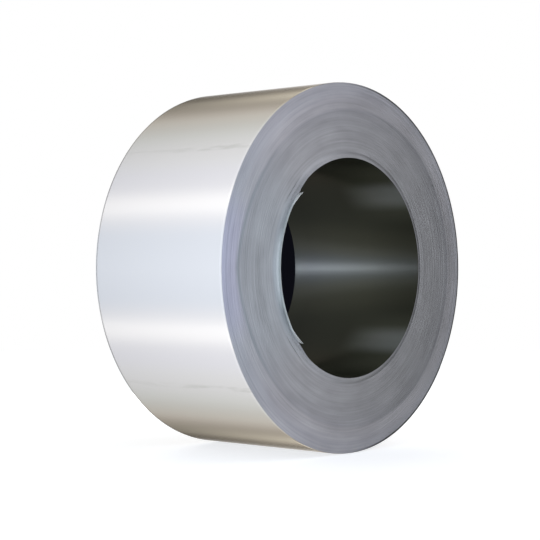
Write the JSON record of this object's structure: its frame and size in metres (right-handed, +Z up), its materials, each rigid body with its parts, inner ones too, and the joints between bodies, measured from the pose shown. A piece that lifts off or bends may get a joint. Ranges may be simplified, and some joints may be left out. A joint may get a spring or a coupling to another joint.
{
  "type": "gutter coil",
  "caption": "Slit coil of bare aluminium strip for roll-forming rain gutters, wound tight and open through its eye, lying on its side.",
  "frame": {"origin": "on the floor, under the middle of the coil lying on its side", "axes": "+Y along the coil's axis, away from the end that shows, +Z up, +X to the right of someone who looks at that end"},
  "size_m": [0.8579, 0.411, 0.858],
  "materials": {
    "strip": "satin mill finish on the outer turn, sheared edges on the ends"
  },
  "bodies": {
    "root": {"strip_coil": "strip"}
  },
  "joints": []
}
